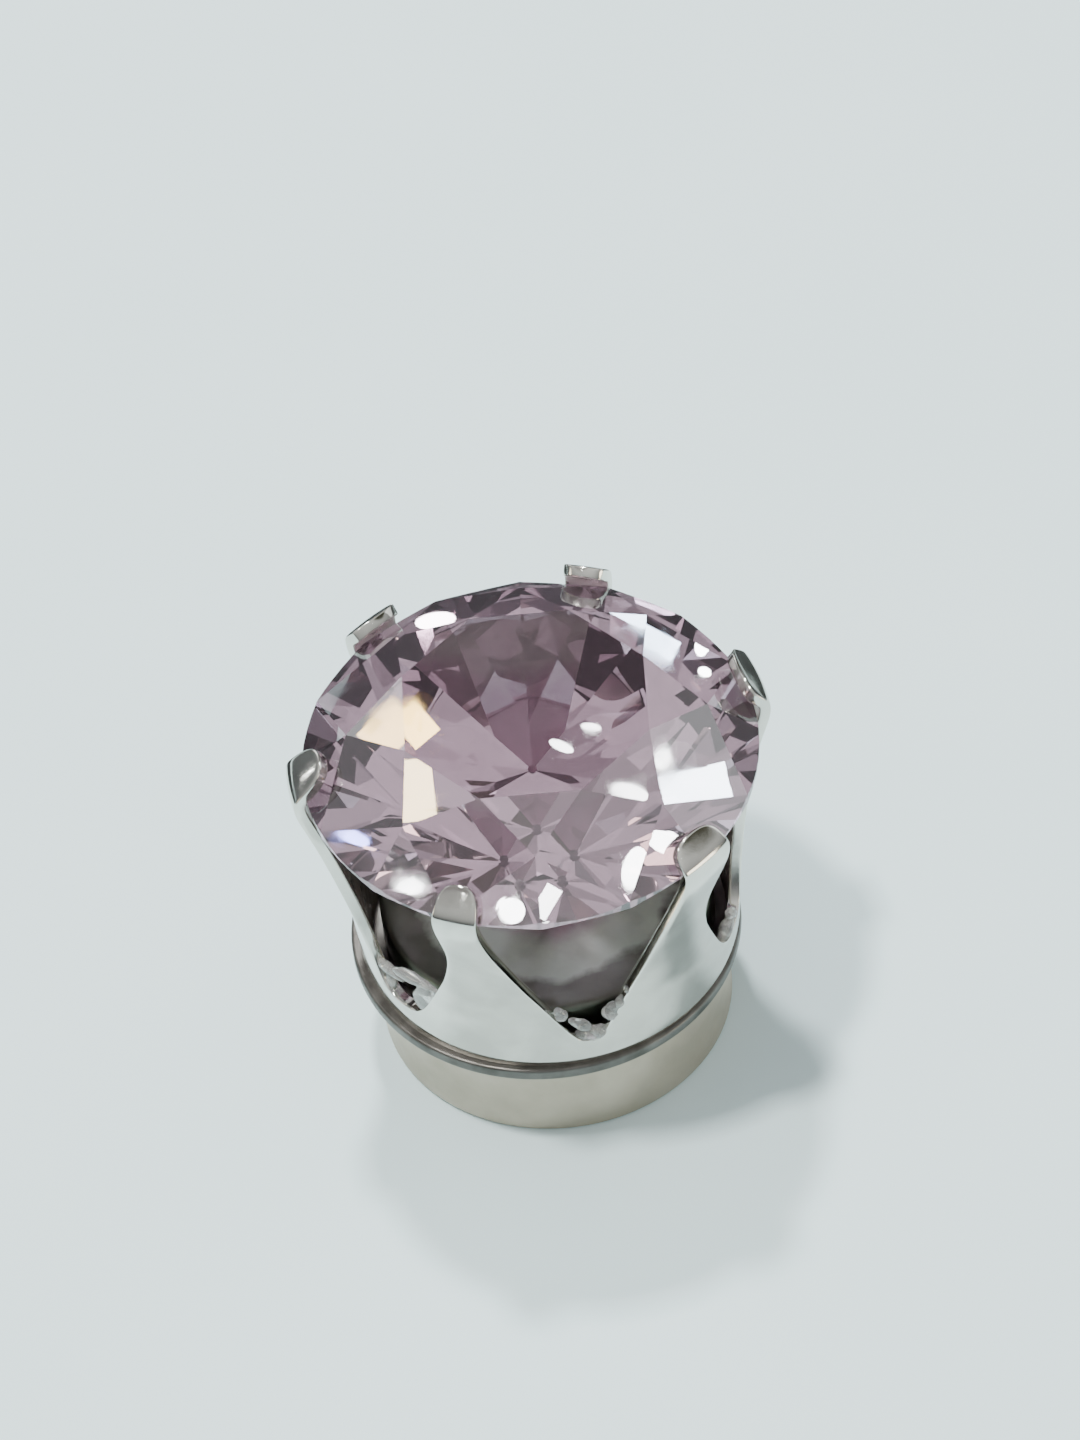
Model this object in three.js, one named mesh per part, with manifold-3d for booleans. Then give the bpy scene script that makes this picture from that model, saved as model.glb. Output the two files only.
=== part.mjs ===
// A magnetic ear stud for an ear with no piercing: a round brilliant stone held by the six
// claws of a flared metal cup, a thin disc magnet glued inside the cup, and a thicker disc
// magnet that pulls on it from behind the ear lobe. It stands on its back magnet with the
// table of the stone upwards. Units are millimetres, +Z is up, and the origin is the middle
// of the back magnet's underside.

import * as THREE from 'three';
import { mergeVertices } from 'three/addons/utils/BufferGeometryUtils.js';
import Module from 'manifold-3d';

const wasm = await Module();
wasm.setup();

// ---- driving dimensions -------------------------------------------------------------------

const glueLine = 0.03; // clearance between pieces that lie face to face
const roundSteps = 72; // facets round a turned piece
const edgeSteps = 3; // facets round a rolled edge

const backMagnet = { radius: 3.2, thickness: 1.85, edge: 0.1 };
const frontMagnet = { radius: 3.0, thickness: 1.0, edge: 0.1 };

// The plate closes the cup from below and is soldered on a little off centre.
const plate = { radius: 3.53, thickness: 0.25, edge: 0.06, offset: 0.07, offsetAzimuth: 171 };

// The cup is one sheet, and the rows give its outer radius from the plate up to the girdle.
const sheet = 0.22;
const wallRows = [
  { aboveMagnet: 0.12, radius: 3.37 },
  { aboveMagnet: 0.37, radius: 3.45 },
  { aboveMagnet: 1.65, radius: 3.52 },
  { aboveMagnet: 2.45, radius: 3.65 },
  { aboveMagnet: 3.45, radius: 3.9 },
  { aboveMagnet: 4.15, radius: 4.1 },
  { aboveMagnet: 4.75, radius: 4.27 },
  { aboveMagnet: 4.95, radius: 4.28 },
];

// Half of a claw's width, as an angle round the cup, from its waist down to the notch's foot. A
// head share is how far the edge has gone over to that claw's own head at this height.
const flankRows = [
  { aboveMagnet: 4.3, halfAngle: 6.2, headShare: 0.72 },
  { aboveMagnet: 3.85, halfAngle: 6.4, headShare: 0.36 },
  { aboveMagnet: 3.35, halfAngle: 8.0, headShare: 0.1 },
  { aboveMagnet: 2.7, halfAngle: 11.0, headShare: 0 },
  { aboveMagnet: 2.3, halfAngle: 13.8, headShare: 0 },
  { aboveMagnet: 1.85, halfAngle: 17.3, headShare: 0 },
  { aboveMagnet: 1.45, halfAngle: 20.4, headShare: 0 },
  { aboveMagnet: 1.15, halfAngle: 23.3, headShare: 0 },
  { aboveMagnet: 0.97, halfAngle: 26.2, headShare: 0 },
  { aboveMagnet: 0.88, halfAngle: 29.6, headShare: 0 },
  { aboveMagnet: 0.84, halfAngle: 34.0, headShare: 0 },
];
const flankSteps = 20;

// The six claws were bent over by hand, so each has its own place, head and lean. A lean is
// the head's angle above level, and a reach is the length of its flat.
const bendRadius = 0.3;
const claws = [
  { azimuth: 2, headHalfAngle: 8.8, headShift: 1.0, lean: 42, reach: 0.42 },
  { azimuth: 62, headHalfAngle: 5.8, headShift: -0.5, lean: 45, reach: 0.4 },
  { azimuth: 119.5, headHalfAngle: 7.2, headShift: 0.0, lean: 45, reach: 0.34 },
  { azimuth: 176, headHalfAngle: 7.0, headShift: 0.0, lean: 41, reach: 0.72 },
  { azimuth: 240.5, headHalfAngle: 5.4, headShift: -2.2, lean: 42, reach: 0.56 },
  { azimuth: 297, headHalfAngle: 7.4, headShift: 5.5, lean: 42, reach: 0.48 },
];

// Round brilliant cut. Its ratios are shares of the girdle's radius, and its angles are the
// slopes of the main facets against level.
const stone = {
  radius: 4.0,
  girdle: 0.18,
  turn: 11.25, // azimuth of the first main facet
  tableRatio: 0.57,
  starShare: 0.55, // how far the stars reach from the table towards the girdle
  lowerHalfRatio: 0.22, // where the lower halves end, measured from the axis
  culetRatio: 0.02,
  crownAngle: 34,
  pavilionAngle: 40.8,
};
const girdleSteps = 80; // a multiple of the 16 facets that meet the girdle

// ---- heights that follow from them --------------------------------------------------------

const rad = THREE.MathUtils.degToRad;
const mainCount = 8;
const mainStep = 360 / mainCount;
const crownSlope = Math.tan(rad(stone.crownAngle));
const pavilionSlope = Math.tan(rad(stone.pavilionAngle));

const magnetTop = backMagnet.thickness;
const plateBottom = magnetTop + glueLine;
const plateTop = plateBottom + plate.thickness;
const frontMagnetBottom = plateTop + glueLine;
const culetZ = frontMagnetBottom + frontMagnet.thickness + glueLine;
const girdleBottom = culetZ + stone.radius * (1 - stone.culetRatio) * pavilionSlope;
const girdleTop = girdleBottom + stone.girdle;
const tableZ = girdleTop + stone.radius * (1 - stone.tableRatio) * crownSlope;

// ---- helpers ------------------------------------------------------------------------------

// A closed three.js geometry as a solid that can be joined and cut.
function toSolid(geometry) {
  geometry.deleteAttribute('normal');
  geometry.deleteAttribute('uv');
  const merged = mergeVertices(geometry, 1e-5);
  const vertProperties = Float32Array.from(merged.attributes.position.array);
  const triVerts = Uint32Array.from(merged.index.array);
  return new wasm.Manifold(new wasm.Mesh({ numProp: 3, vertProperties, triVerts }));
}

function toGeometry(solid) {
  const mesh = solid.getMesh();
  const geometry = new THREE.BufferGeometry();
  geometry.setAttribute('position', new THREE.BufferAttribute(mesh.vertProperties, 3));
  geometry.setIndex(new THREE.BufferAttribute(mesh.triVerts, 1));
  geometry.computeVertexNormals();
  return geometry;
}

// A point given by radius, azimuth in degrees and height.
function polar(radius, azimuth, z) {
  return new THREE.Vector3(radius * Math.cos(rad(azimuth)), radius * Math.sin(rad(azimuth)), z);
}

// Turns a profile of { radius, z } rows, listed with the metal on its left, about the Z axis.
function turned(rows) {
  const points = rows.map((row) => new THREE.Vector2(row.radius, row.z));
  return new THREE.LatheGeometry(points, roundSteps).rotateX(Math.PI / 2);
}

// Rows of an arc about a centre, from one angle to another.
function arcRows(centre, radius, fromAngle, toAngle, steps) {
  return Array.from({ length: steps + 1 }, (_, step) => {
    const angle = rad(THREE.MathUtils.lerp(fromAngle, toAngle, step / steps));
    return { radius: centre.radius + radius * Math.cos(angle), z: centre.z + radius * Math.sin(angle) };
  });
}

// A flat disc whose two rims are rolled over by its edge radius.
function disc({ radius, thickness, edge }, bottom) {
  const lowerRim = { radius: radius - edge, z: bottom + edge };
  const upperRim = { radius: radius - edge, z: bottom + thickness - edge };
  return turned([
    { radius: 0, z: bottom },
    ...arcRows(lowerRim, edge, -90, 0, edgeSteps),
    ...arcRows(upperRim, edge, 0, 90, edgeSteps),
    { radius: 0, z: bottom + thickness },
  ]);
}

// ---- six-claw cup -------------------------------------------------------------------------

// Section of the sheet through one claw: up the outside, over the head and down the inside.
function clawSection({ lean, reach }) {
  const outside = wallRows.map((row) => ({ radius: row.radius, z: magnetTop + row.aboveMagnet }));
  const shoulder = outside[outside.length - 1];
  const bendCentre = { radius: shoulder.radius - bendRadius, z: shoulder.z };
  const outerBend = arcRows(bendCentre, bendRadius, 0, 90 - lean, edgeSteps).slice(1);
  const innerBend = arcRows(bendCentre, bendRadius - sheet, 90 - lean, 0, edgeSteps);
  const along = (row) => ({
    radius: row.radius - reach * Math.cos(rad(lean)),
    z: row.z + reach * Math.sin(rad(lean)),
  });
  const outerTip = along(outerBend[outerBend.length - 1]);
  const innerTip = along(innerBend[0]);
  const inside = outside
    .slice(0, -1)
    .reverse()
    .map((row) => ({ radius: row.radius - sheet, z: row.z }));
  return [...outside, ...outerBend, outerTip, innerTip, ...innerBend, ...inside, outside[0]];
}

// One edge of a claw laid out flat, from its crest down to its foot, with x as degrees round
// the cup and y as height. Side is 1 for the anticlockwise edge and -1 for the other.
function clawEdge({ headHalfAngle, headShift }, side) {
  const headEdge = headShift + side * headHalfAngle;
  const flank = flankRows.map(({ aboveMagnet, halfAngle, headShare }) => {
    const angle = THREE.MathUtils.lerp(side * halfAngle, headEdge, headShare);
    return new THREE.Vector2(angle, magnetTop + aboveMagnet);
  });
  const headTop = flank[0].y + 0.75;
  const lastRow = flankRows[flankRows.length - 1];
  return [
    new THREE.Vector2(headShift + side * headHalfAngle * 0.5, tableZ),
    new THREE.Vector2(headShift + side * headHalfAngle * 0.94, headTop + 0.3),
    ...new THREE.SplineCurve([new THREE.Vector2(headEdge, headTop), ...flank]).getPoints(flankSteps),
    new THREE.Vector2(side * lastRow.halfAngle, plateBottom),
  ];
}

function clawOutline(claw) {
  return new THREE.Shape([...clawEdge(claw, -1), ...clawEdge(claw, 1).reverse()]);
}

// Wraps an outline round the Z axis, as a block that runs from inside the cup to outside it.
function wrappedOutline(shape, azimuth) {
  const inner = plate.radius - 0.6;
  const outer = stone.radius + 0.7;
  const block = new THREE.ExtrudeGeometry(shape, { depth: outer - inner, steps: 1, bevelEnabled: false });
  const position = block.attributes.position;
  for (let i = 0; i < position.count; i += 1) {
    const place = polar(inner + position.getZ(i), azimuth + position.getX(i), position.getY(i));
    position.setXYZ(i, place.x, place.y, place.z);
  }
  return block;
}

function makeCrownSetting() {
  const offset = polar(plate.offset, plate.offsetAzimuth, 0);
  let setting = toSolid(disc(plate, plateBottom).translate(offset.x, offset.y, 0));
  for (const claw of claws) {
    const ring = toSolid(turned(clawSection(claw)));
    const outline = toSolid(wrappedOutline(clawOutline(claw), claw.azimuth));
    setting = setting.add(ring.intersect(outline));
  }
  return toGeometry(setting);
}

// ---- round brilliant stone ----------------------------------------------------------------

// Grinds a flat facet through three points, listed anticlockwise as seen from outside.
function grind(solid, a, b, c) {
  const across = new THREE.Vector3().subVectors(b, a).normalize();
  const outward = new THREE.Vector3().subVectors(b, a).cross(new THREE.Vector3().subVectors(c, a));
  outward.normalize();
  const along = new THREE.Vector3().crossVectors(outward, across);
  const wheelSize = 6 * stone.radius;
  const wheel = new THREE.BoxGeometry(wheelSize, wheelSize, wheelSize).translate(0, 0, wheelSize / 2);
  wheel.applyMatrix4(new THREE.Matrix4().makeBasis(across, along, outward).setPosition(a));
  return solid.subtract(toSolid(wheel));
}

function makeGemstone() {
  const { radius } = stone;
  const half = mainStep / 2;
  const tableRadius = radius * stone.tableRatio;
  const tableMiddle = tableRadius * Math.cos(rad(half));
  const starRadius = THREE.MathUtils.lerp(tableMiddle, radius, stone.starShare);
  const starZ = girdleTop + (radius - starRadius * Math.cos(rad(half))) * crownSlope;
  const lowerRadius = radius * stone.lowerHalfRatio;
  const lowerZ = girdleBottom - (radius - lowerRadius * Math.cos(rad(half))) * pavilionSlope;

  const blank = new THREE.CylinderGeometry(radius, radius, tableZ - culetZ, girdleSteps);
  blank.rotateX(Math.PI / 2).translate(0, 0, (tableZ + culetZ) / 2);
  let solid = toSolid(blank.rotateZ(rad(stone.turn)));

  for (let main = 0; main < mainCount; main += 1) {
    const azimuth = stone.turn + main * mainStep;
    const before = azimuth - half;
    const after = azimuth + half;
    const tableCorner = polar(tableRadius, azimuth, tableZ);
    const nextCorner = polar(tableRadius, azimuth + mainStep, tableZ);
    const starBefore = polar(starRadius, before, starZ);
    const starAfter = polar(starRadius, after, starZ);
    const topMain = polar(radius, azimuth, girdleTop);
    const bottomMain = polar(radius, azimuth, girdleBottom);
    const lowerBefore = polar(lowerRadius, before, lowerZ);
    const lowerAfter = polar(lowerRadius, after, lowerZ);

    solid = grind(solid, tableCorner, starBefore, starAfter); // kite
    solid = grind(solid, tableCorner, starAfter, nextCorner); // star
    solid = grind(solid, topMain, starBefore, polar(radius, before, girdleTop)); // upper halves
    solid = grind(solid, topMain, polar(radius, after, girdleTop), starAfter);
    solid = grind(solid, bottomMain, lowerBefore, lowerAfter); // pavilion main
    solid = grind(solid, bottomMain, polar(radius, before, girdleBottom), lowerBefore); // lower halves
    solid = grind(solid, bottomMain, lowerAfter, polar(radius, after, girdleBottom));
  }
  return toGeometry(solid);
}

// ---- assembly -----------------------------------------------------------------------------

function piece(name, geometry, colour, roughness, metalness) {
  const material = new THREE.MeshStandardMaterial({ color: colour, roughness, metalness });
  const mesh = new THREE.Mesh(geometry, material);
  mesh.name = name;
  return mesh;
}

const earring = new THREE.Group();
earring.add(piece('back_magnet', disc(backMagnet, 0), 0xb4b0a2, 0.3, 1));
earring.add(piece('crown_setting', makeCrownSetting(), 0xc6cbc4, 0.12, 1));
earring.add(piece('front_magnet', disc(frontMagnet, frontMagnetBottom), 0x8f8f8a, 0.35, 1));
earring.add(piece('gemstone', makeGemstone(), 0xb7a2b2, 0.02, 0));

export default earring;
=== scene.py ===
import math
from collections import namedtuple

import bmesh
import bpy
from mathutils import Matrix, Quaternion, Vector


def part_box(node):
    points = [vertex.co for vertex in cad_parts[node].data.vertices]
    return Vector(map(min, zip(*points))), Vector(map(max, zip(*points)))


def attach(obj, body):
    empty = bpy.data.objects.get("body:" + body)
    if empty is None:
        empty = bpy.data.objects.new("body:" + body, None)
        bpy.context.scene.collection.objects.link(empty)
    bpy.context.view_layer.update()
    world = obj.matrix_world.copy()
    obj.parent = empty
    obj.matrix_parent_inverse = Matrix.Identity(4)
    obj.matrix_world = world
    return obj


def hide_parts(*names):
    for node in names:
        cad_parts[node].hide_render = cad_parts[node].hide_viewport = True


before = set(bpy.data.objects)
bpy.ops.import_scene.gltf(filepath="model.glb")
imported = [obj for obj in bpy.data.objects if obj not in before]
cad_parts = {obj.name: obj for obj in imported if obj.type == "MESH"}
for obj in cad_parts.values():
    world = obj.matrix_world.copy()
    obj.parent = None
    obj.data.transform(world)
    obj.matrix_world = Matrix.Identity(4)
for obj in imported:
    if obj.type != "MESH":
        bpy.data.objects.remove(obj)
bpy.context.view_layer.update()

# A magnetic ear stud that stands on its back magnet: a six-claw cup with a flat plate below,
# a thin magnet glued inside it, the round stone on top and the thick magnet underneath.
# Sizes are in metres, and the heights follow from the boxes of the solids.

MM = 0.001

CUP_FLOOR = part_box("crown_setting")[0].z
INNER_LOW, INNER_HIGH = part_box("front_magnet")
OUTER_LOW, OUTER_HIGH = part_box("back_magnet")
MAGNET_TOP = OUTER_HIGH.z

# ---- sizes of the cup ------------------------------------------------------------------------

SHEET = 0.22 * MM
SOFTENED_EDGE = 0.035 * MM

# The band is laid out flat with the front of the earring at its middle, and rolled to this radius.
ROLL_RADIUS = 3.5 * MM
FRONT = 270.0
COLUMNS = 6

# Lengths in the tables of the cup are in millimetres, and angles in degrees.
# Outer radius of the wall, from the plate up to the shoulder where the claws bend over.
WALL = [
    # height above the back magnet, radius
    (0.12, 3.37),
    (0.37, 3.45),
    (1.65, 3.52),
    (2.45, 3.65),
    (3.45, 3.90),
    (4.15, 4.10),
    (4.75, 4.27),
    (4.95, 4.28),
]
SHOULDER_HEIGHT, SHOULDER_RADIUS = WALL[-1]
BEND_RADIUS = 0.3
BEND_STEPS = 2

# Rows of the closed band, up to the foot of the openings.
OPENING_FOOT = 0.91
BAND_HEIGHTS = (0.12, 0.37, 0.64, OPENING_FOOT)

# Rows of a claw between two openings. Higher up, its edges go over to those of its own head.
# The middle of a row stands above its two ends, which rounds the foot of the openings.
CLAW_ROWS = [
    # height of the ends, half the claw's width, share of the head's place, rise of the middle
    (0.97, 26.2, 0.0, 0.19),
    (1.15, 23.3, 0.0, 0.26),
    (1.45, 20.4, 0.0, 0.22),
    (1.85, 17.3, 0.0, 0.14),
    (2.30, 13.8, 0.0, 0.06),
    (2.70, 11.0, 0.0, 0.02),
    (3.35, 8.0, 0.10, 0.0),
    (3.85, 6.4, 0.36, 0.0),
    (4.30, 6.2, 0.72, 0.0),
    (4.70, 6.2, 0.95, 0.0),
]
WIDEST_SHARE = 0.9
RISE_POWER = 2.2

# The last rows of a head.
HEAD_ROWS = [
    # share of the flat's length, share of the head's width, how far its ends stay behind
    (0.55, 0.97, 0.0),
    (0.97, 0.66, 0.14),
]

Claw = namedtuple("Claw", "azimuth head_half head_shift lean flat")
CLAWS = [
    # azimuth, half the head's width, its shift, its lean above level, length of its flat
    Claw(119.5, 7.2, 0.0, 45, 0.34),  # back left
    Claw(176.0, 7.0, 0.0, 41, 0.72),  # left
    Claw(240.5, 5.4, -2.2, 42, 0.56),  # front left
    Claw(297.0, 7.4, 5.5, 42, 0.48),  # front right
    Claw(362.0, 8.8, 1.0, 42, 0.42),  # right
    Claw(422.0, 5.8, -0.5, 45, 0.40),  # back
]

# The plate is soldered on a little to the left of the middle.
PLATE_RADIUS = 3.53 * MM
PLATE_THICKNESS = 0.25 * MM
PLATE_EDGE = 0.06 * MM
PLATE_SHIFT = 0.07 * MM
PLATE_SHIFT_AZIMUTH = 171

# Both magnets have a rolled edge.
MAGNET_EDGE = 0.1 * MM

# ---- steps that several pieces share ---------------------------------------------------------


def towards(azimuth, elevation):
    """The direction at an azimuth from +X and an elevation above level, both in degrees."""
    a, e = math.radians(azimuth), math.radians(elevation)
    return Vector((math.cos(a) * math.cos(e), math.sin(a) * math.cos(e), math.sin(e)))


def deselect_everything():
    if bpy.context.mode != "OBJECT":
        bpy.ops.object.mode_set(mode="OBJECT")
    bpy.ops.object.select_all(action="DESELECT")


def work_on(piece):
    """Makes one piece the only selected and active one."""
    deselect_everything()
    piece.select_set(True)
    bpy.context.view_layer.objects.active = piece


def join(pieces):
    """Joins pieces into the first of them, and leaves it active."""
    deselect_everything()
    for piece in pieces:
        piece.select_set(True)
    bpy.context.view_layer.objects.active = pieces[0]
    bpy.ops.object.join()
    return pieces[0]


def added(name):
    """Names the piece that was just added or joined, and leaves it selected."""
    piece = bpy.context.object
    piece.name = name
    piece.data.name = name
    return piece


def pick(piece, wanted):
    """In edit mode, selects the vertices whose place passes a test, and the faces they close."""
    bpy.ops.mesh.select_all(action="DESELECT")
    work = bmesh.from_edit_mesh(piece.data)
    for vertex in work.verts:
        vertex.select = wanted(vertex.co)
    work.select_flush(True)
    bmesh.update_edit_mesh(piece.data)


def finish_modifiers(piece):
    work_on(piece)
    for modifier in list(piece.modifiers):
        bpy.ops.object.modifier_apply(modifier=modifier.name)


# ---- the cup's wall --------------------------------------------------------------------------

# Rows that are shaped already wait this far inwards, apart from the rows still to shape, and a
# corner is picked when it lies this near to its place.
WAITING = 1.0
TOLERANCE = 1e-4
ROW_WELD = 0.002 * MM
SEAM_WELD = 0.01 * MM


def wall_radius(height):
    """The outer radius of the wall at a height, in a straight line between the rows of WALL."""
    for (low, low_radius), (high, high_radius) in zip(WALL, WALL[1:]):
        if height <= high:
            return low_radius + (height - low) / (high - low) * (high_radius - low_radius)
    return SHOULDER_RADIUS


def wall_rows(claw, gap_before, gap_after):
    """Rows of one claw's part of the wall, from the plate to the shoulder: radius and height of
    the middle, radius and height of the ends, and the angles of the two ends."""
    rows = [(height, height, -gap_before, gap_after) for height in BAND_HEIGHTS]
    for height, half, share, rise in CLAW_ROWS:
        ends = []
        for side, gap in ((-1, gap_before), (1, gap_after)):
            angle = side * min(half, WIDEST_SHARE * gap)
            ends.append(angle + share * (claw.head_shift + side * claw.head_half - angle))
        rows.append((height + rise, height, ends[0], ends[1]))
    return [
        (wall_radius(middle), middle, wall_radius(end), end, before, after)
        for middle, end, before, after in rows
    ]


def head_rows(claw):
    """Rows of one claw over the shoulder and along its head, as in wall_rows."""
    rows = []
    left, right = claw.head_shift - claw.head_half, claw.head_shift + claw.head_half
    for step in range(BEND_STEPS + 1):
        turn = math.radians((90 - claw.lean) * step / BEND_STEPS)
        radius = SHOULDER_RADIUS - BEND_RADIUS + BEND_RADIUS * math.cos(turn)
        height = SHOULDER_HEIGHT + BEND_RADIUS * math.sin(turn)
        rows.append((radius, height, radius, height, left, right))
    bend_radius, bend_height = rows[-1][:2]
    slope = math.radians(claw.lean)
    for share, width, behind in HEAD_ROWS:
        along, ends_along = claw.flat * share, claw.flat * (share - behind)
        rows.append(
            (
                bend_radius - along * math.cos(slope),
                bend_height + along * math.sin(slope),
                bend_radius - ends_along * math.cos(slope),
                bend_height + ends_along * math.sin(slope),
                claw.head_shift - width * claw.head_half,
                claw.head_shift + width * claw.head_half,
            )
        )
    return rows


def pick_in_row(flat, row_height, aside):
    """Selects the corners of a row still to shape that lie that far to either side of its middle."""

    def wanted(co):
        unshaped = abs(co.y) < TOLERANCE
        in_row = abs(co.z - row_height) < TOLERANCE
        return unshaped and in_row and abs(abs(co.x) - aside) < TOLERANCE

    pick(flat, wanted)


def cut_flat_claw(claw, gap_before, gap_after):
    """One claw laid out flat, with x round the cup, z up the wall and y inwards."""
    rows = wall_rows(claw, gap_before, gap_after) + head_rows(claw)
    deselect_everything()
    bpy.ops.mesh.primitive_grid_add(
        x_subdivisions=COLUMNS, y_subdivisions=len(rows) - 1, size=1, rotation=(math.pi / 2, 0, 0)
    )
    flat = added("claw")
    bpy.ops.object.transform_apply(location=False, rotation=True, scale=False)
    bpy.ops.object.mode_set(mode="EDIT")
    for index, (radius, height, end_radius, end_height, before, after) in enumerate(rows):
        start = index / (len(rows) - 1) - 0.5
        rest = ROLL_RADIUS * math.radians(claw.azimuth + (before + after) / 2 - FRONT)
        width = ROLL_RADIUS * math.radians(after - before)
        # a smoothed ring lies inside its corners by this factor, so the corners lie further out
        outwards = 3 / (2 + math.cos(math.radians((after - before) / COLUMNS)))
        for column in range(COLUMNS // 2 + 1):
            aside = column / COLUMNS
            share = (2 * aside) ** RISE_POWER
            inwards = ROLL_RADIUS - outwards * MM * (radius + share * (end_radius - radius))
            up = MAGNET_TOP + MM * (height + share * (end_height - height))
            pick_in_row(flat, start, aside)
            bpy.ops.transform.resize(value=(width, 1, 1), center_override=(0, 0, start))
            bpy.ops.transform.translate(value=(rest, inwards + WAITING, up - start))
    bpy.ops.object.mode_set(mode="OBJECT")
    return flat


def roll_up(flat):
    """Bends the flat band into a ring about the Z axis and closes its seam."""
    work_on(flat)
    bpy.ops.object.mode_set(mode="EDIT")
    bpy.ops.mesh.select_all(action="SELECT")
    bpy.ops.transform.translate(value=(0, -WAITING, 0))
    bpy.ops.mesh.remove_doubles(threshold=ROW_WELD)
    bpy.ops.object.mode_set(mode="OBJECT")
    roll = flat.modifiers.new("roll", "SIMPLE_DEFORM")
    roll.deform_method = "BEND"
    roll.deform_axis = "Z"
    roll.angle = 2 * math.pi
    finish_modifiers(flat)
    bpy.ops.object.mode_set(mode="EDIT")
    bpy.ops.mesh.select_all(action="SELECT")
    bpy.ops.transform.translate(value=(0, -ROLL_RADIUS, 0))
    bpy.ops.mesh.remove_doubles(threshold=SEAM_WELD)
    bpy.ops.mesh.normals_make_consistent(inside=False)
    bpy.ops.object.mode_set(mode="OBJECT")


def make_claw_wall(outside, inside):
    """The six claws and the band below them, as one sheet with a material on each side."""
    claws = []
    for index, claw in enumerate(CLAWS):
        before = CLAWS[index - 1].azimuth - (360 if index == 0 else 0)
        after = CLAWS[(index + 1) % len(CLAWS)].azimuth + (360 if index == len(CLAWS) - 1 else 0)
        claws.append(cut_flat_claw(claw, (claw.azimuth - before) / 2, (after - claw.azimuth) / 2))
    wall = join(claws)
    wall.data.materials.append(outside)
    wall.data.materials.append(inside)
    roll_up(wall)
    sheet = wall.modifiers.new("sheet", "SOLIDIFY")
    sheet.thickness = SHEET
    sheet.offset = -1
    sheet.material_offset = 1
    soften = wall.modifiers.new("edges", "BEVEL")
    soften.limit_method = "ANGLE"
    soften.angle_limit = math.radians(50)
    soften.width = SOFTENED_EDGE
    soften.segments = 2
    smooth = wall.modifiers.new("smooth", "SUBSURF")
    smooth.levels = 2
    smooth.render_levels = 2
    finish_modifiers(wall)
    bpy.ops.object.shade_smooth()
    return wall


# ---- discs -----------------------------------------------------------------------------------

DISC_SIDES = 144
EDGE_STEPS = 4
FLAT_INSETS = (0.1, 0.35)
LEVEL_WITHIN = 0.0001 * MM


def make_disc(name, centre, radius, bottom, top, edge):
    """A disc with rolled rims, and rings on both faces that keep them flat."""
    deselect_everything()
    bpy.ops.mesh.primitive_cylinder_add(
        vertices=DISC_SIDES,
        radius=radius,
        depth=top - bottom,
        location=(centre[0], centre[1], (top + bottom) / 2),
    )
    disc = added(name)
    bpy.ops.object.transform_apply(location=True, rotation=False, scale=False)
    bpy.ops.object.mode_set(mode="EDIT")
    bpy.ops.mesh.select_mode(type="EDGE")
    bpy.ops.mesh.select_all(action="DESELECT")
    work = bmesh.from_edit_mesh(disc.data)
    for rim in work.edges:
        rim.select = abs(rim.verts[0].co.z - rim.verts[1].co.z) < LEVEL_WITHIN
    bmesh.update_edit_mesh(disc.data)
    bpy.ops.mesh.bevel(offset=edge, segments=EDGE_STEPS, profile=0.5, affect="EDGES")
    bpy.ops.mesh.select_mode(type="FACE")
    for share in FLAT_INSETS:
        bpy.ops.mesh.select_all(action="DESELECT")
        work = bmesh.from_edit_mesh(disc.data)
        for face in work.faces:
            face.select = len(face.verts) == DISC_SIDES
        bmesh.update_edit_mesh(disc.data)
        bpy.ops.mesh.inset(thickness=radius * share, depth=0, use_individual=True)
    bpy.ops.mesh.select_mode(type="VERT")
    bpy.ops.object.mode_set(mode="OBJECT")
    bpy.ops.object.shade_smooth_by_angle(angle=math.radians(40))
    return disc


# ---- set glue --------------------------------------------------------------------------------

# In degrees and millimetres, opening by opening.
GLUE_DROPS = [
    # azimuth, height above the back magnet, radius, width, length, how far proud, lean
    (260.9, 1.70, 3.42, 0.26, 0.34, 0.22, 20),
    (266.6, 1.34, 3.41, 0.24, 0.52, 0.22, 48),
    (276.0, 1.50, 3.42, 0.36, 0.42, 0.26, -25),
    (271.6, 1.12, 3.46, 0.30, 0.28, 0.26, 60),
    (269.4, 0.98, 3.36, 0.36, 0.70, 0.28, 84),
    (279.0, 1.74, 3.46, 0.16, 0.36, 0.20, -38),
    (281.6, 2.02, 3.48, 0.13, 0.28, 0.18, -35),
    (201.2, 1.42, 3.38, 0.22, 0.96, 0.20, -76),
    (212.8, 1.72, 3.36, 0.25, 1.16, 0.22, -80),
    (217.6, 1.36, 3.37, 0.60, 0.86, 0.24, -8),
    (201.4, 1.16, 3.36, 0.26, 0.46, 0.20, 18),
    (327.6, 0.98, 3.36, 0.26, 0.66, 0.26, 92),
    (333.0, 1.06, 3.38, 0.22, 0.42, 0.22, 60),
    (31.0, 0.95, 3.36, 0.24, 0.80, 0.26, 88),
    (89.4, 1.00, 3.36, 0.28, 0.60, 0.24, 98),
    (95.2, 1.10, 3.39, 0.20, 0.34, 0.20, 50),
    (148.2, 0.97, 3.36, 0.26, 0.74, 0.26, 90),
]


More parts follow.
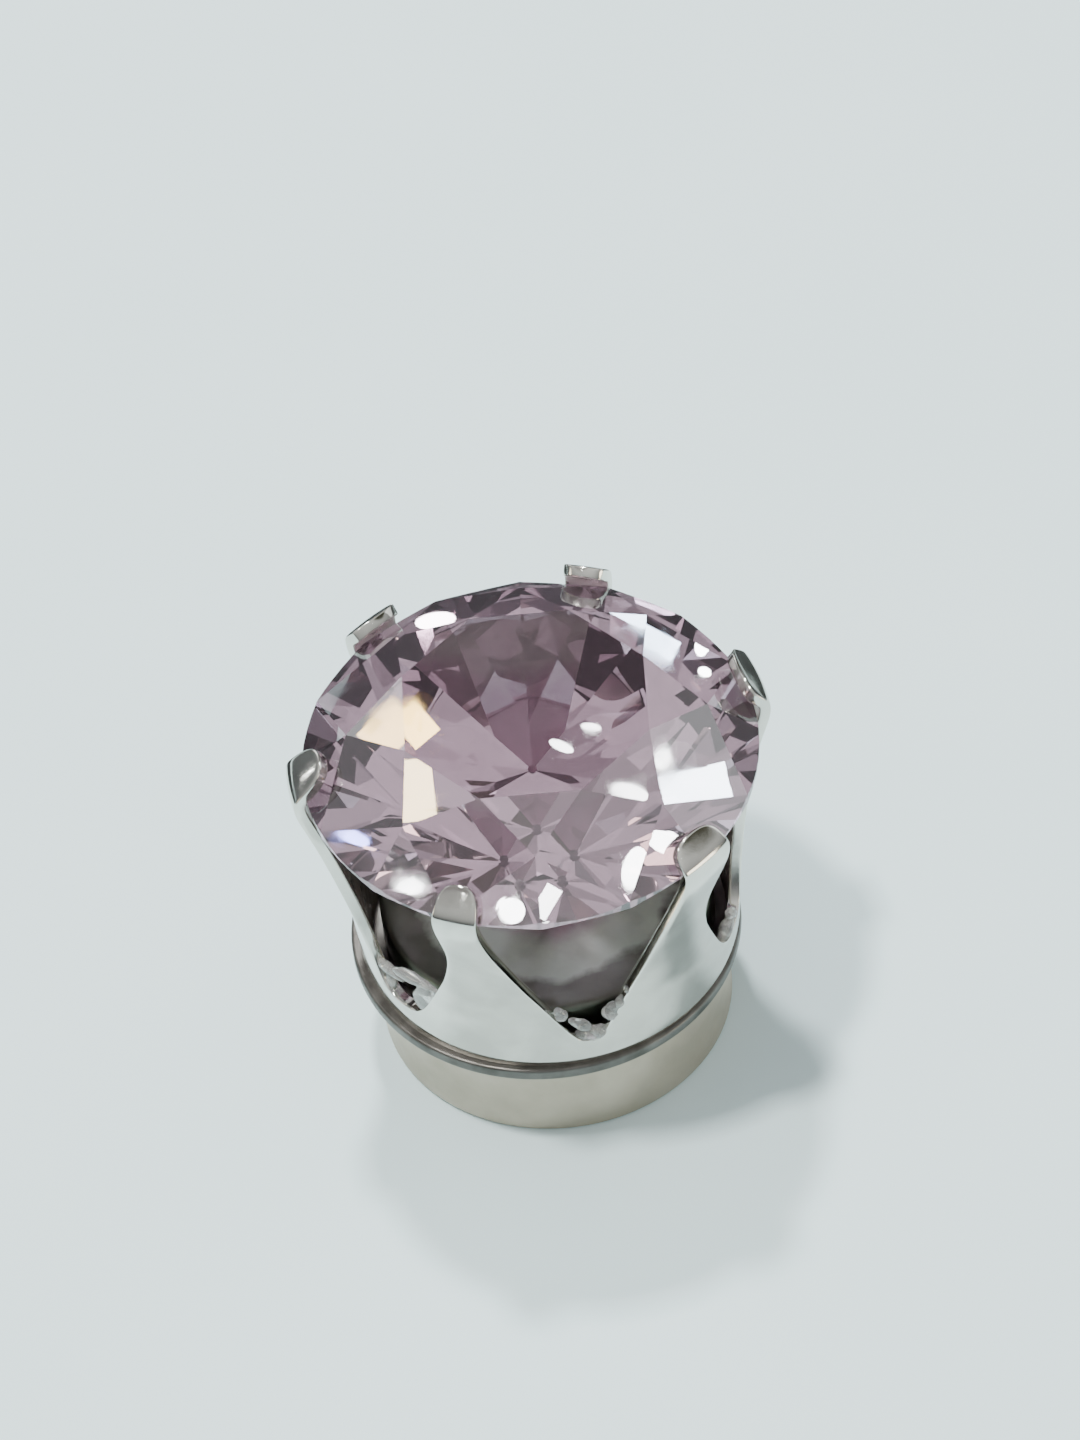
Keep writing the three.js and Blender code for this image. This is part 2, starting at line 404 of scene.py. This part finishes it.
def shape_glue_drop():
    """One drop of unit size, narrower at its top, with a leaning foot and a flatter side."""
    deselect_everything()
    bpy.ops.mesh.primitive_uv_sphere_add(segments=20, ring_count=12, radius=0.5)
    drop = added("glue_drop")
    bpy.ops.object.mode_set(mode="EDIT")
    pick(drop, lambda co: co.z > 0.1)
    bpy.ops.transform.resize(value=(0.82, 0.86, 1.1), center_override=(0, 0, 0.1))
    pick(drop, lambda co: co.z < -0.3)
    bpy.ops.transform.translate(value=(0.06, -0.05, 0.05))
    pick(drop, lambda co: co.x > 0.2)
    bpy.ops.transform.resize(value=(1, 0.85, 0.9), center_override=(0.2, 0, 0))
    bpy.ops.mesh.select_all(action="SELECT")
    bpy.ops.mesh.normals_make_consistent(inside=False)
    bpy.ops.object.mode_set(mode="OBJECT")
    bpy.ops.object.shade_smooth()
    return drop


def make_glue_drops():
    """Set glue in the feet of the openings: one drop is copied and leant for each place."""
    drop = shape_glue_drop()
    drops = []
    for azimuth, height, radius, width, length, proud, lean in GLUE_DROPS:
        work_on(drop)
        bpy.ops.object.duplicate(linked=False)
        placed = bpy.context.object
        a = math.radians(azimuth)
        facing = Quaternion((0, 0, 1), a + math.pi / 2)
        leant = Quaternion((0, 1, 0), math.radians(-lean))
        placed.scale = (width * MM, proud * MM, length * MM)
        placed.rotation_mode = "QUATERNION"
        placed.rotation_quaternion = facing @ leant
        x, y = radius * MM * math.cos(a), radius * MM * math.sin(a)
        placed.location = (x, y, MAGNET_TOP + height * MM)
        bpy.ops.object.transform_apply(location=True, rotation=True, scale=True)
        drops.append(placed)
    work_on(drop)
    bpy.ops.object.delete()
    join(drops)
    return added("set_glue")


# ---- finishes --------------------------------------------------------------------------------


class Finish:
    """A material built up from nodes round one principled shader."""

    def __init__(self, name, **values):
        self.material = bpy.data.materials.new(name)
        self.material.use_nodes = True
        self.tree = self.material.node_tree
        self.shader = self.tree.nodes["Principled BSDF"]
        for socket, value in values.items():
            self.shader.inputs[socket.replace("_", " ")].default_value = value
        self.place = self.tree.nodes.new("ShaderNodeTexCoord").outputs["Object"]

    def link(self, output, target):
        self.tree.links.new(output, target)

    def stretched(self, scale, turn=(0, 0, 0)):
        """Object coordinates, scaled and turned."""
        mapping = self.tree.nodes.new("ShaderNodeMapping")
        mapping.inputs["Scale"].default_value = scale
        mapping.inputs["Rotation"].default_value = turn
        self.link(self.place, mapping.inputs["Vector"])
        return mapping.outputs["Vector"]

    def noise(self, size, detail=2.0, place=None, distortion=0.0):
        """Noise whose patches are about that size in metres."""
        noise = self.tree.nodes.new("ShaderNodeTexNoise")
        noise.inputs["Scale"].default_value = 1 / size
        noise.inputs["Detail"].default_value = detail
        noise.inputs["Distortion"].default_value = distortion
        self.link(place or self.place, noise.inputs["Vector"])
        return noise.outputs["Fac"]

    def spread(self, value, from_low, from_high, to_low, to_high):
        """Maps one range of a value on another."""
        node = self.tree.nodes.new("ShaderNodeMapRange")
        node.inputs["From Min"].default_value = from_low
        node.inputs["From Max"].default_value = from_high
        node.inputs["To Min"].default_value = to_low
        node.inputs["To Max"].default_value = to_high
        self.link(value, node.inputs["Value"])
        return node.outputs["Result"]

    def total(self, first, second):
        """The sum of two values."""
        node = self.tree.nodes.new("ShaderNodeMath")
        node.operation = "ADD"
        self.link(first, node.inputs[0])
        self.link(second, node.inputs[1])
        return node.outputs["Value"]

    def blend(self, share, first, second):
        """A colour between two, by a share."""
        ramp = self.tree.nodes.new("ShaderNodeValToRGB")
        ramp.color_ramp.elements[0].color = (*first, 1)
        ramp.color_ramp.elements[1].color = (*second, 1)
        self.link(share, ramp.inputs["Fac"])
        return ramp.outputs["Color"]

    def bump(self, height, depth, under=None):
        """Raises the surface by a height of 0 to 1 times a depth in metres."""
        node = self.tree.nodes.new("ShaderNodeBump")
        node.inputs["Strength"].default_value = 1.0
        node.inputs["Distance"].default_value = depth
        self.link(height, node.inputs["Height"])
        if under is not None:
            self.link(under, node.inputs["Normal"])
        return node.outputs["Normal"]

    def give(self, socket, output):
        self.link(output, self.shader.inputs[socket])

    def mottle(self, patches, first, second, low=0.35, high=0.65):
        """Lets the colour wander between two with the patches of a noise."""
        self.give("Base Color", self.blend(self.spread(patches, low, high, 0, 1), first, second))

    def wear(self, patches, least, most, low=0.35, high=0.7):
        """Lets the roughness wander between two values with the patches of a noise."""
        self.give("Roughness", self.spread(patches, low, high, least, most))


def polished_plating():
    finish = Finish("polished_plating", Metallic=1.0, Roughness=0.1)
    tone = finish.noise(1.1 * MM, detail=5, distortion=0.4)
    finish.mottle(tone, (0.60, 0.592, 0.542), (0.76, 0.74, 0.678), low=0.36, high=0.64)
    finish.wear(finish.noise(0.5 * MM, detail=4), 0.06, 0.17)
    waves = finish.bump(finish.noise(1.6 * MM, detail=1), 0.02 * MM)
    scratches = finish.noise(0.12 * MM, detail=2, place=finish.stretched((1, 1, 0.12), (0.3, 0.2, 0)))
    finish.give("Normal", finish.bump(scratches, 0.0008 * MM, under=waves))
    return finish.material


# Heights above the back magnet where the painted shade inside the cup begins to fade, and where it is
# gone at the heads.
INSIDE_SHADE_FADES = 4.3 * MM
INSIDE_SHADE_GONE = 4.9 * MM


def inside_painted_shade():
    """Rougher metal on the inside of the cup, with painted shade: its colour is dark low in the cup
    and lighter up at the heads of the claws.
    """
    finish = Finish("inside_painted_shade", Metallic=1.0, Roughness=0.35)
    split = finish.tree.nodes.new("ShaderNodeSeparateXYZ")
    finish.link(finish.place, split.inputs["Vector"])
    # Painted shade: the colour darkens from the heads of the claws down into the cup, with a random
    # mottle.
    begins, complete = MAGNET_TOP + INSIDE_SHADE_FADES, MAGNET_TOP + INSIDE_SHADE_GONE
    unshaded = finish.spread(split.outputs["Z"], begins, complete, 0, 1)
    mottled = finish.spread(finish.noise(0.8 * MM, detail=4), 0.35, 0.65, 0, 0.4)
    zones = finish.blend(finish.total(mottled, unshaded), (0.30, 0.262, 0.235), (0.72, 0.71, 0.65))
    zones.node.color_ramp.elements.new(0.4).color = (0.43, 0.385, 0.345, 1)
    finish.give("Base Color", zones)
    finish.wear(finish.noise(0.3 * MM, detail=4), 0.25, 0.5)
    finish.give("Normal", finish.bump(finish.noise(0.15 * MM, detail=3), 0.006 * MM))
    return finish.material


def magnet_glue_and_painted_shade():
    """The nickel of the magnet inside the cup under a film of set glue, coloured in rings: plum in
    the middle, then grey-green, and a dark outer ring of set glue with painted shade for the shadowed
    gap to the wall.
    """
    finish = Finish(
        "magnet_glue_and_painted_shade", Metallic=1.0, Roughness=0.35, Coat_Weight=0.6, Coat_Roughness=0.12
    )
    nearness = finish.tree.nodes.new("ShaderNodeTexGradient")
    nearness.gradient_type = "SPHERICAL"
    finish.link(finish.stretched((1 / INNER_HIGH.x, 1 / INNER_HIGH.x, 0)), nearness.inputs["Vector"])
    ragged = finish.spread(finish.noise(0.7 * MM, detail=4), 0.3, 0.7, -0.05, 0.05)
    nearness_to_middle = finish.total(nearness.outputs["Fac"], ragged)
    # Painted shade: the dark outer ring stands for set glue in the shadowed gap beside the wall.
    zones = finish.blend(nearness_to_middle, (0.115, 0.13, 0.10), (0.25, 0.20, 0.22))
    ramp = zones.node.color_ramp
    ramp.elements[0].position = 0.19
    ramp.elements[1].position = 0.68
    for position in (0.26, 0.48):
        ramp.elements.new(position).color = (0.345, 0.43, 0.335, 1)
    finish.give("Base Color", zones)
    finish.wear(finish.noise(0.35 * MM, detail=4), 0.3, 0.55)
    finish.give("Normal", finish.bump(finish.noise(0.3 * MM, detail=2), 0.008 * MM))
    return finish.material


def plate_painted_shade():
    """The plate under the cup: rough metal, coloured dark as painted shade for the shadowed joint
    between the cup and the back magnet.
    """
    finish = Finish("plate_painted_shade", Metallic=1.0, Roughness=0.35)
    # Painted shade: the dark colour stands for the shade in the joint under the wall.
    finish.mottle(finish.noise(0.6 * MM, detail=4), (0.10, 0.095, 0.086), (0.17, 0.162, 0.15))
    finish.wear(finish.noise(0.25 * MM, detail=4), 0.36, 0.52)
    finish.give("Normal", finish.bump(finish.noise(0.12 * MM, detail=3), 0.004 * MM))
    return finish.material


def nickel_plating():
    finish = Finish("nickel_plating", Metallic=1.0, Roughness=0.3)
    finish.mottle(finish.noise(1.1 * MM, detail=4), (0.465, 0.402, 0.32), (0.545, 0.475, 0.387))
    finish.wear(finish.noise(0.4 * MM, detail=5), 0.42, 0.56)
    rubbed = finish.noise(0.08 * MM, detail=3, place=finish.stretched((0.2, 0.2, 1.6)))
    finish.give("Normal", finish.bump(rubbed, 0.0012 * MM))
    return finish.material


def lilac_stone():
    """Clear cut stone, tinted at its surface and a little more along the way through it."""
    finish = Finish(
        "lilac_stone",
        Base_Color=(0.87, 0.68, 0.79, 1),
        Roughness=0.0,
        IOR=2.15,
        Transmission_Weight=0.98,
    )
    finish.wear(finish.noise(0.9 * MM, detail=3), 0.0, 0.035, low=0.45, high=0.75)
    body = finish.tree.nodes.new("ShaderNodeVolumeAbsorption")
    body.inputs["Color"].default_value = (0.80, 0.51, 0.67, 1)
    body.inputs["Density"].default_value = 48.0
    finish.link(body.outputs["Volume"], finish.tree.nodes["Material Output"].inputs["Volume"])
    return finish.material


def clear_glue():
    finish = Finish("clear_glue", Roughness=0.08, IOR=1.5, Transmission_Weight=0.78)
    finish.mottle(finish.noise(0.2 * MM, detail=3), (0.80, 0.81, 0.78), (0.93, 0.94, 0.91))
    finish.wear(finish.noise(0.12 * MM, detail=3), 0.03, 0.14, low=0.3, high=0.7)
    finish.give("Normal", finish.bump(finish.noise(0.3 * MM, detail=1), 0.012 * MM))
    return finish.material


def pale_floor():
    finish = Finish("pale_floor", Roughness=0.6)
    tone = finish.noise(9 * MM, detail=2)
    finish.mottle(tone, (0.72, 0.915, 0.94), (0.75, 0.935, 0.96), low=0.3, high=0.7)
    return finish.material


def black_paper():
    finish = Finish("black_card", Roughness=0.7)
    tone = finish.noise(3 * MM, detail=2)
    finish.mottle(tone, (0.030, 0.028, 0.031), (0.045, 0.042, 0.045), low=0.3, high=0.7)
    return finish.material


# ---- the pieces ------------------------------------------------------------------------------

wall = make_claw_wall(polished_plating(), inside_painted_shade())
turn = math.radians(PLATE_SHIFT_AZIMUTH)
shift = (PLATE_SHIFT * math.cos(turn), PLATE_SHIFT * math.sin(turn))
plate = make_disc("plate", shift, PLATE_RADIUS, CUP_FLOOR, CUP_FLOOR + PLATE_THICKNESS, PLATE_EDGE)
plate.data.materials.append(plate_painted_shade())
join([wall, plate])
claw_cup = added("claw_cup")
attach(claw_cup, "front")
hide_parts("crown_setting")

set_glue = make_glue_drops()
set_glue.data.materials.append(clear_glue())
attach(set_glue, "front")

cup_magnet = make_disc("cup_magnet", (0, 0), INNER_HIGH.x, INNER_LOW.z, INNER_HIGH.z, MAGNET_EDGE)
cup_magnet.data.materials.append(magnet_glue_and_painted_shade())
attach(cup_magnet, "front")
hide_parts("front_magnet")

lobe_magnet = make_disc("lobe_magnet", (0, 0), OUTER_HIGH.x, OUTER_LOW.z, OUTER_HIGH.z, MAGNET_EDGE)
lobe_magnet.data.materials.append(nickel_plating())
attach(lobe_magnet, "back")
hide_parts("back_magnet")

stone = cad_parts["gemstone"]
stone.data.materials.clear()
stone.data.materials.append(lilac_stone())

# ---- floor and card --------------------------------------------------------------------------

FLOOR_SIZE = 0.8
CARD_WIDTH = 60 * MM
CARD_HEIGHT = 6 * MM
CARD_BEHIND = 13 * MM


def make_floor():
    deselect_everything()
    bpy.ops.mesh.primitive_plane_add(size=FLOOR_SIZE, location=(0, 0, 0))
    floor = added("floor")
    floor.data.materials.append(pale_floor())
    return floor


def make_black_card():
    """A low black card that stands behind the earring, for the rear facets to mirror. The camera
    doesn't see it, and it throws no shadow."""
    deselect_everything()
    bpy.ops.mesh.primitive_plane_add(size=1, location=(0, 0, 0), rotation=(math.pi / 2, 0, 0))
    card = added("black_card")
    bpy.ops.object.transform_apply(location=False, rotation=True, scale=False)
    bpy.ops.object.mode_set(mode="EDIT")
    bpy.ops.mesh.select_all(action="SELECT")
    bpy.ops.transform.resize(value=(CARD_WIDTH, 1, CARD_HEIGHT), center_override=(0, 0, 0))
    bpy.ops.transform.translate(value=(0, CARD_BEHIND, CARD_HEIGHT / 2))
    bpy.ops.object.mode_set(mode="OBJECT")
    card.data.materials.append(black_paper())
    card.visible_camera = False
    card.visible_shadow = False
    card.visible_diffuse = False
    return card


floor = make_floor()
card = make_black_card()

# ---- light -----------------------------------------------------------------------------------

WHITE = (0.97, 0.99, 1.0)
CREAM = (1.0, 0.66, 0.22)
PALE_CREAM = (1.0, 0.78, 0.42)
SKY = (0.80, 0.89, 1.0)
ICE = (0.66, 0.80, 1.0)
VIOLET = (0.35, 0.38, 1.0)
PALE_PINK = (1.0, 0.86, 0.91)

SOFTBOXES = [
    # name, (azimuth, elevation, distance), (width, height), watts, colour
    ("lamp_behind", (90, 64.5, 0.40), (0.035, 0.035), 1.3, (0.97, 0.99, 1.0)),
    ("lamp_left", (186, 75, 0.40), (0.035, 0.035), 1.45, (1.0, 0.99, 0.97)),
    ("low_right", (5, 21, 0.50), (0.22, 0.22), 0.20, (0.93, 0.97, 1.0)),
    ("low_behind", (112, 22, 0.50), (0.22, 0.20), 0.30, (0.97, 0.98, 1.0)),
    ("low_front", (322, 9, 0.50), (0.20, 0.12), 0.42, (1.0, 0.91, 0.74)),
    ("low_left", (179, 15, 0.50), (0.12, 0.12), 0.16, (1.0, 0.90, 0.72)),
]

# Small bright lamps that the facets and the claw heads mirror, all at one distance.
CATCH_DISTANCE = 0.456
CATCH_LIGHTS = [
    # azimuth, elevation, width and height in millimetres, turn, radiance, colour, shape
    (118.5, 30.3, 4.0, 5.2, 74, 26, CREAM, "RECTANGLE"),
    (146.9, 57.4, 3.4, 6.2, 102, 30, PALE_CREAM, "RECTANGLE"),
    (83.1, 48.3, 3.2, 4.0, -148, 38, CREAM, "RECTANGLE"),
    (11.3, 31.5, 6.9, 4.4, -80, 50, SKY, "RECTANGLE"),
    (12.9, 31.5, 2.0, 3.4, -70, 45, WHITE, "ELLIPSE"),
    (11.8, 31.9, 1.6, 2.2, -110, 45, WHITE, "ELLIPSE"),
    (307.7, 57.8, 2.4, 4.4, -60, 50, WHITE, "ELLIPSE"),
    (320.2, 39.9, 5.4, 2.2, -70, 50, WHITE, "ELLIPSE"),
    (11.3, 60.6, 3.8, 1.8, -120, 34, WHITE, "ELLIPSE"),
    (234.6, 46.2, 2.6, 2.6, 13, 50, WHITE, "ELLIPSE"),
    (278.3, 47.2, 1.7, 3.4, -50, 45, WHITE, "RECTANGLE"),
    (194.9, 37.6, 2.6, 1.6, 42, 45, WHITE, "ELLIPSE"),
    (163.4, 24.7, 3.4, 1.4, 40, 45, VIOLET, "ELLIPSE"),
    (80.4, 48.8, 2.6, 1.0, 150, 34, WHITE, "ELLIPSE"),
    (79.8, 48.6, 2.0, 0.8, 166, 34, WHITE, "ELLIPSE"),
    (358.8, 36.5, 6.0, 3.0, 20, 30, SKY, "RECTANGLE"),
    (15.4, 48.7, 3.4, 1.8, 0, 30, WHITE, "ELLIPSE"),
    (221.0, 45.0, 9.0, 6.0, 0, 26, WHITE, "ELLIPSE"),
    (136.0, 9.5, 4.0, 14.0, 0, 22, WHITE, "ELLIPSE"),
    (63.5, 11.5, 5.4, 2.8, 177, 36, ICE, "RECTANGLE"),
    (50.2, 2.9, 5.2, 2.4, -154, 36, ICE, "RECTANGLE"),
    (49.8, 2.4, 1.6, 2.6, -146, 50, WHITE, "ELLIPSE"),
    (49.5, 2.6, 1.4, 1.0, -146, 50, WHITE, "ELLIPSE"),
]

# One more stands low and close behind the earring, where another rear facet looks. It lights
# nothing that is rough.
NEAR_PLACE = (93.1, 22, 12.1 * MM)
NEAR_SIZE = (0.8 * MM, 0.42 * MM)
NEAR_TURN = 157
NEAR_RADIANCE = 30

DARK_CARDS = [
    # azimuth, elevation, angular radius, colour
    (200, 60, 24, (0.40, 0.39, 0.40)),
    (82, 40, 36, (0.06, 0.052, 0.058)),
    (343, 40, 12, (0.08, 0.08, 0.06)),
]
SOFT_EDGE = 0.3
HORIZON = (0.13, 0.14, 0.15, 1)
CEILING = (0.86, 0.885, 0.89, 1)
DARK_UP_TO = 0.1
PALE_FROM = 0.7


def softbox(name, place, size, watts, colour, turn=0, shape="RECTANGLE"):
    """A soft area light that faces the earring, turned about its own middle by some degrees."""
    azimuth, elevation, distance = place
    light = bpy.data.lights.new(name, "AREA")
    light.shape = shape
    light.size, light.size_y = size
    light.energy = watts
    light.color = colour
    lamp = bpy.data.objects.new(name, light)
    bpy.context.scene.collection.objects.link(lamp)
    way = towards(azimuth, elevation)
    lamp.location = way * distance
    lamp.rotation_mode = "QUATERNION"
    lamp.rotation_quaternion = way.to_track_quat("Z", "Y") @ Quaternion((0, 0, 1), math.radians(turn))
    lamp.visible_camera = False
    return lamp


def catch_light(name, place, size, turn, radiance, colour, shape):
    """A small lamp of a given radiance, so that it looks equally bright at any size."""
    watts = math.pi * radiance * size[0] * size[1]
    return softbox(name, place, size, watts, colour, turn, shape)


def light_the_earring():
    for row in SOFTBOXES:
        softbox(*row)
    for number, row in enumerate(CATCH_LIGHTS, 1):
        azimuth, elevation, width, height, turn, radiance, colour, shape = row
        place = (azimuth, elevation, CATCH_DISTANCE)
        size = (width * MM, height * MM)
        catch_light(f"catch_{number}", place, size, turn, radiance, colour, shape)
    near_lamp = catch_light(
        "near_lamp", NEAR_PLACE, NEAR_SIZE, NEAR_TURN, NEAR_RADIANCE, PALE_PINK, "ELLIPSE"
    )
    near_lamp.visible_diffuse = False


def studio_walls():
    """Dark round the horizon and pale overhead, with soft-edged dark cards."""
    world = bpy.data.worlds.new("studio")
    world.use_nodes = True
    tree = world.node_tree
    place = tree.nodes.new("ShaderNodeTexCoord").outputs["Generated"]
    split = tree.nodes.new("ShaderNodeSeparateXYZ")
    tree.links.new(place, split.inputs["Vector"])
    ramp = tree.nodes.new("ShaderNodeValToRGB")
    ramp.color_ramp.elements[0].position = DARK_UP_TO
    ramp.color_ramp.elements[0].color = HORIZON
    ramp.color_ramp.elements[1].position = PALE_FROM
    ramp.color_ramp.elements[1].color = CEILING
    tree.links.new(split.outputs["Z"], ramp.inputs["Fac"])
    walls = ramp.outputs["Color"]
    for azimuth, elevation, radius, colour in DARK_CARDS:
        reach = 2 * math.sin(math.radians(radius) / 2)
        centred = tree.nodes.new("ShaderNodeMapping")
        centred.inputs["Location"].default_value = -towards(azimuth, elevation) / reach
        centred.inputs["Scale"].default_value = (1 / reach, 1 / reach, 1 / reach)
        tree.links.new(place, centred.inputs["Vector"])
        nearness = tree.nodes.new("ShaderNodeTexGradient")
        nearness.gradient_type = "SPHERICAL"
        tree.links.new(centred.outputs["Vector"], nearness.inputs["Vector"])
        soft_edge = tree.nodes.new("ShaderNodeMapRange")
        soft_edge.inputs["From Max"].default_value = SOFT_EDGE
        tree.links.new(nearness.outputs["Fac"], soft_edge.inputs["Value"])
        card = tree.nodes.new("ShaderNodeMix")
        card.data_type = "RGBA"
        card.inputs["B"].default_value = (*colour, 1)
        tree.links.new(soft_edge.outputs["Result"], card.inputs["Factor"])
        tree.links.new(walls, card.inputs["A"])
        walls = card.outputs["Result"]
    tree.links.new(walls, tree.nodes["Background"].inputs["Color"])
    bpy.context.scene.world = world


light_the_earring()
studio_walls()

# ---- camera ----------------------------------------------------------------------------------

# In degrees and metres, as seen from the foot of the earring.
VIEW_AZIMUTH = -9.0
VIEW_ELEVATION = 50.6
VIEW_ROLL = -6.6
VIEW_DISTANCE = 0.1

# In millimetres. The foot of the earring stands off the middle of the frame.
SENSOR = 36
LENS = 136.15
FOOT_RIGHT, FOOT_DOWN = 0.4525, 6.8075


def place_camera():
    a, e, r = (math.radians(v) for v in (VIEW_AZIMUTH, VIEW_ELEVATION, VIEW_ROLL))
    back = Vector((math.sin(a) * math.cos(e), -math.cos(a) * math.cos(e), math.sin(e)))
    right = Vector((math.cos(a), math.sin(a), 0))
    up = back.cross(right)
    tilted_right = math.cos(r) * right + math.sin(r) * up
    tilted_up = -math.sin(r) * right + math.cos(r) * up
    level = Matrix((tilted_right, tilted_up, back)).transposed().to_quaternion()
    foot = Vector((FOOT_RIGHT, -FOOT_DOWN, -LENS)).normalized()
    aim = Vector((0, 0, -1)).rotation_difference(foot)
    data = bpy.data.cameras.new("camera")
    camera = bpy.data.objects.new("camera", data)
    bpy.context.scene.collection.objects.link(camera)
    camera.location = back * VIEW_DISTANCE
    camera.rotation_mode = "QUATERNION"
    camera.rotation_quaternion = level @ aim.inverted()
    data.sensor_fit = "AUTO"
    data.sensor_width = SENSOR
    data.lens = LENS
    data.clip_start = 0.001
    data.clip_end = 10
    bpy.context.scene.camera = camera


place_camera()
